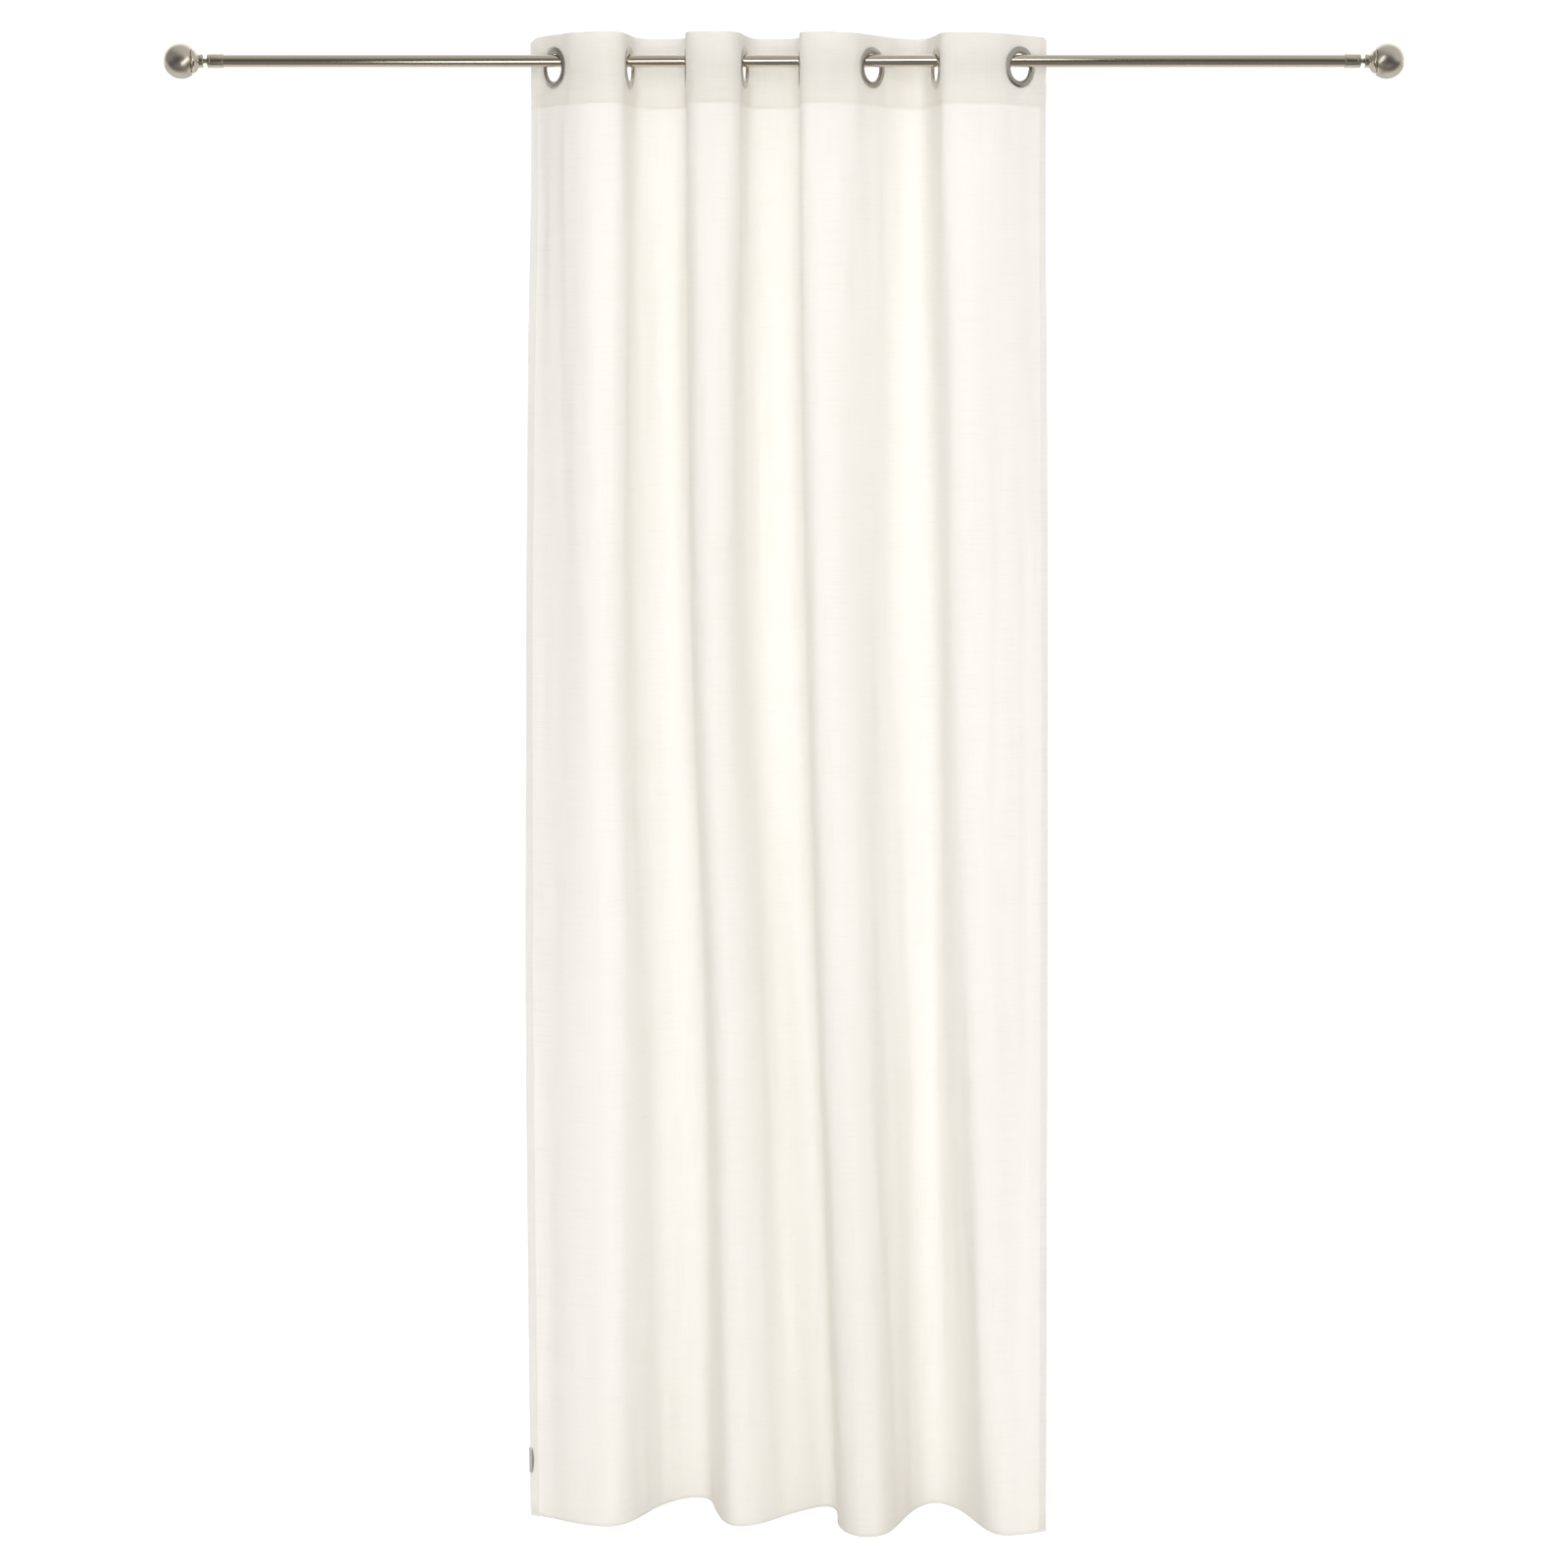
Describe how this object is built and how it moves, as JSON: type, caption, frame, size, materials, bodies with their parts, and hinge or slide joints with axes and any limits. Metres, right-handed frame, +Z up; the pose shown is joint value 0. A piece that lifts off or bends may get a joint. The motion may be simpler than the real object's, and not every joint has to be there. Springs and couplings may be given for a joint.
{
  "type": "eyelet curtain on a curtain rod",
  "caption": "Semi-sheer eyelet curtain hanging in soft uneven folds from metal rings on a plain round rod with ball ends.",
  "frame": {"origin": "on the rod's axis, at the middle of the rod's length", "axes": "+X along the rod to the viewer's right, +Z up, and the front of the curtain faces -Y"},
  "size_m": [1.996, 0.1867, 2.472],
  "materials": {
    "rod_metal": "brushed nickel, satin",
    "eyelet_metal": "brushed nickel, satin",
    "heading_cloth": "two layers of plain weave over a stiffener, cream",
    "panel_cloth": "semi-sheer plain weave with slubs, cream",
    "label_ribbon": "plain woven ribbon, grey"
  },
  "bodies": {
    "root": {"rod": "rod_metal", "end_cap_left": "rod_metal", "end_cap_right": "rod_metal", "finial_collar_left": "rod_metal", "finial_collar_right": "rod_metal", "finial_ball_left": "rod_metal", "finial_ball_right": "rod_metal", "eyelet_1": "eyelet_metal", "eyelet_2": "eyelet_metal", "eyelet_3": "eyelet_metal", "eyelet_4": "eyelet_metal", "eyelet_5": "eyelet_metal", "eyelet_6": "eyelet_metal", "eyelet_7": "eyelet_metal", "eyelet_8": "eyelet_metal", "heading_band": "heading_cloth", "curtain_panel": "panel_cloth", "side_label": "label_ribbon"}
  },
  "joints": []
}
